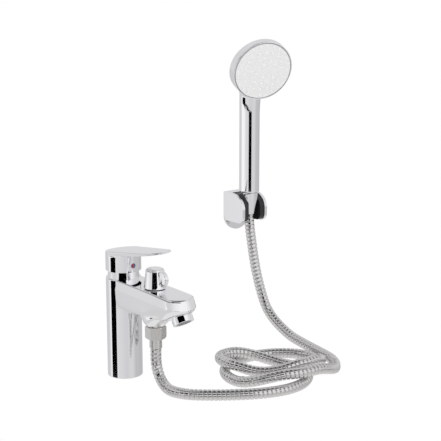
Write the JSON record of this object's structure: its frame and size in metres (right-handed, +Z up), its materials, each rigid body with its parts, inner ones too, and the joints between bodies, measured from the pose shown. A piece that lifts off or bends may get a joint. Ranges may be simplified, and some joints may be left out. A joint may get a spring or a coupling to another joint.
{
  "type": "bath shower mixer",
  "caption": "Deck-mounted chrome single-lever bath mixer with a spout, diverter knob, ribbed shower hose and a hand shower in its wall bracket.",
  "frame": {"origin": "centre of the column's foot, on the deck", "axes": "+Z up, +X along the spout, +Y from the tap to the wall bracket"},
  "size_m": [0.2559, 0.2867, 0.4198],
  "materials": {
    "chrome": "polished chrome plate",
    "nickel": "satin nickel plate",
    "brass": "plain brass",
    "rubber": "black rubber",
    "white_plastic": "white moulded plastic",
    "black_plastic": "black moulded plastic",
    "grey_plastic": "grey moulded plastic",
    "ceramic": "lapped ceramic",
    "hot_red": "red moulded plastic",
    "cold_blue": "blue moulded plastic"
  },
  "bodies": {
    "tap_and_bracket": {"mixer_body": "chrome", "base_seal": "rubber", "cartridge_housing": "white_plastic", "cartridge_seals": "rubber", "fixed_disc": "ceramic", "retaining_nut": "brass", "trim_ring": "chrome", "diverter_bonnet": "brass", "aerator_housing": "chrome", "aerator_insert": "grey_plastic", "aerator_washer": "rubber", "outlet_nipple": "brass", "check_valve": "white_plastic", "tap_washer": "rubber", "hose_nut": "nickel", "hose_ferrule": "nickel", "hose_drop": "nickel", "hose_coil": "nickel", "hose_rise": "nickel", "bracket_plate": "chrome", "bracket_shell": "chrome", "bracket_cradle": "black_plastic", "bracket_screw": "nickel"},
    "lever_turret": {"cartridge_carrier": "white_plastic", "pivot_pin": "nickel"},
    "lever": {"lever_handle": "chrome", "lever_spindle": "brass", "handle_screw": "nickel", "index_hot": "hot_red", "index_cold": "cold_blue"},
    "valve_disc": {"moving_disc": "ceramic"},
    "diverter": {"diverter_knob": "chrome", "knob_cap": "chrome", "diverter_stem": "brass", "diverter_plug": "brass"},
    "hose_end": {"hose_insert": "brass"},
    "hand_shower": {"cone_nut": "chrome", "shower_washer": "rubber", "shower_shell": "chrome", "shower_face": "white_plastic", "rim_seal": "grey_plastic", "nozzle_mat": "white_plastic"}
  },
  "joints": [
    {"name": "lever_mix", "type": "hinge", "parent": "tap_and_bracket", "child": "lever_turret", "pos_m": [0, 0, 0.133], "axis": [0, 0, 1], "range_deg": [-50, 50]},
    {"name": "lever_lift", "type": "hinge", "parent": "lever_turret", "child": "lever", "pos_m": [0, 0, 0.133], "axis": [0, -1, 0], "range_deg": [0, 20]},
    {"name": "disc_slide", "type": "slide", "parent": "lever_turret", "child": "valve_disc", "axis": [1, 0, 0], "range_m": [0, 0.00524]},
    {"name": "diverter_turn", "type": "hinge", "parent": "tap_and_bracket", "child": "diverter", "pos_m": [0.07, 0, 0.13], "axis": [0, 0, 1], "range_deg": [0, 90]},
    {"name": "shower_lift", "type": "slide", "parent": "tap_and_bracket", "child": "hose_end", "axis": [0, 0, 1], "range_m": [0, 0.045], "deforming": ["hose_rise"]},
    {"name": "shower_swivel", "type": "hinge", "parent": "hose_end", "child": "hand_shower", "pos_m": [-0.032, 0.232, 0.2], "axis": [0, 0, 1], "range_deg": [-60, 90]}
  ],
  "couplings": [
    {"joint": "disc_slide", "follows": "lever_lift", "m_per_rad": 0.015}
  ]
}
